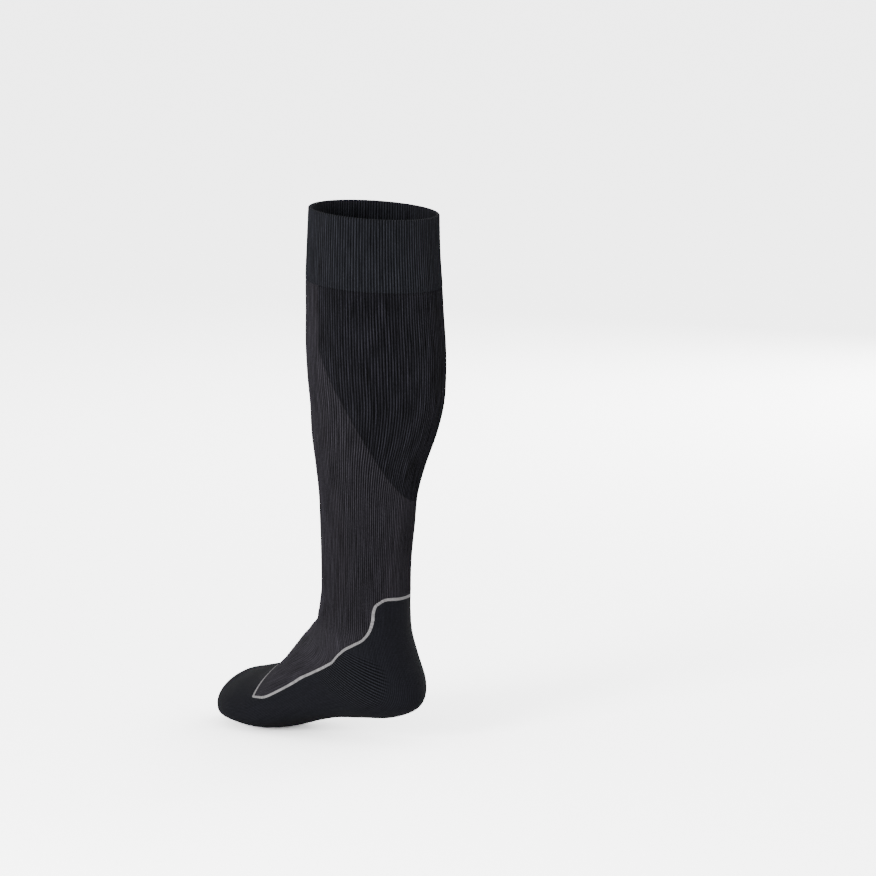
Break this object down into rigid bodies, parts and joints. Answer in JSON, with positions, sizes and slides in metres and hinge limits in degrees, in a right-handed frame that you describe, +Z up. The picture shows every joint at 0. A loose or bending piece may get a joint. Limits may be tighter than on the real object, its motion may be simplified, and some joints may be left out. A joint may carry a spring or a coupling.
{
  "type": "compression stocking",
  "caption": "Knee-length ribbed compression stocking for the left leg, worn and hollow, with a turned top band, darker calf panel, thin tracer line and thicker foot with heel and toe.",
  "frame": {"origin": "centre of the top opening, where the leg holds the stocking up", "axes": "+Z up the leg and out of the opening, -Y towards the toes, +X towards the outer side of the left leg"},
  "size_m": [0.1142, 0.251, 0.4474],
  "materials": {
    "band_knit": "matte blue-black rib knit, doubled",
    "calf_knit": "matte blue-black rib knit",
    "shin_knit": "matte charcoal rib knit",
    "tracer_knit": "matte light-grey knit",
    "foot_knit": "matte blue-black terry-backed plain knit"
  },
  "bodies": {
    "root": {"top_band": "band_knit", "calf_panel": "calf_knit", "shin_panel": "shin_knit", "tracer": "tracer_knit", "foot": "foot_knit"}
  },
  "joints": []
}
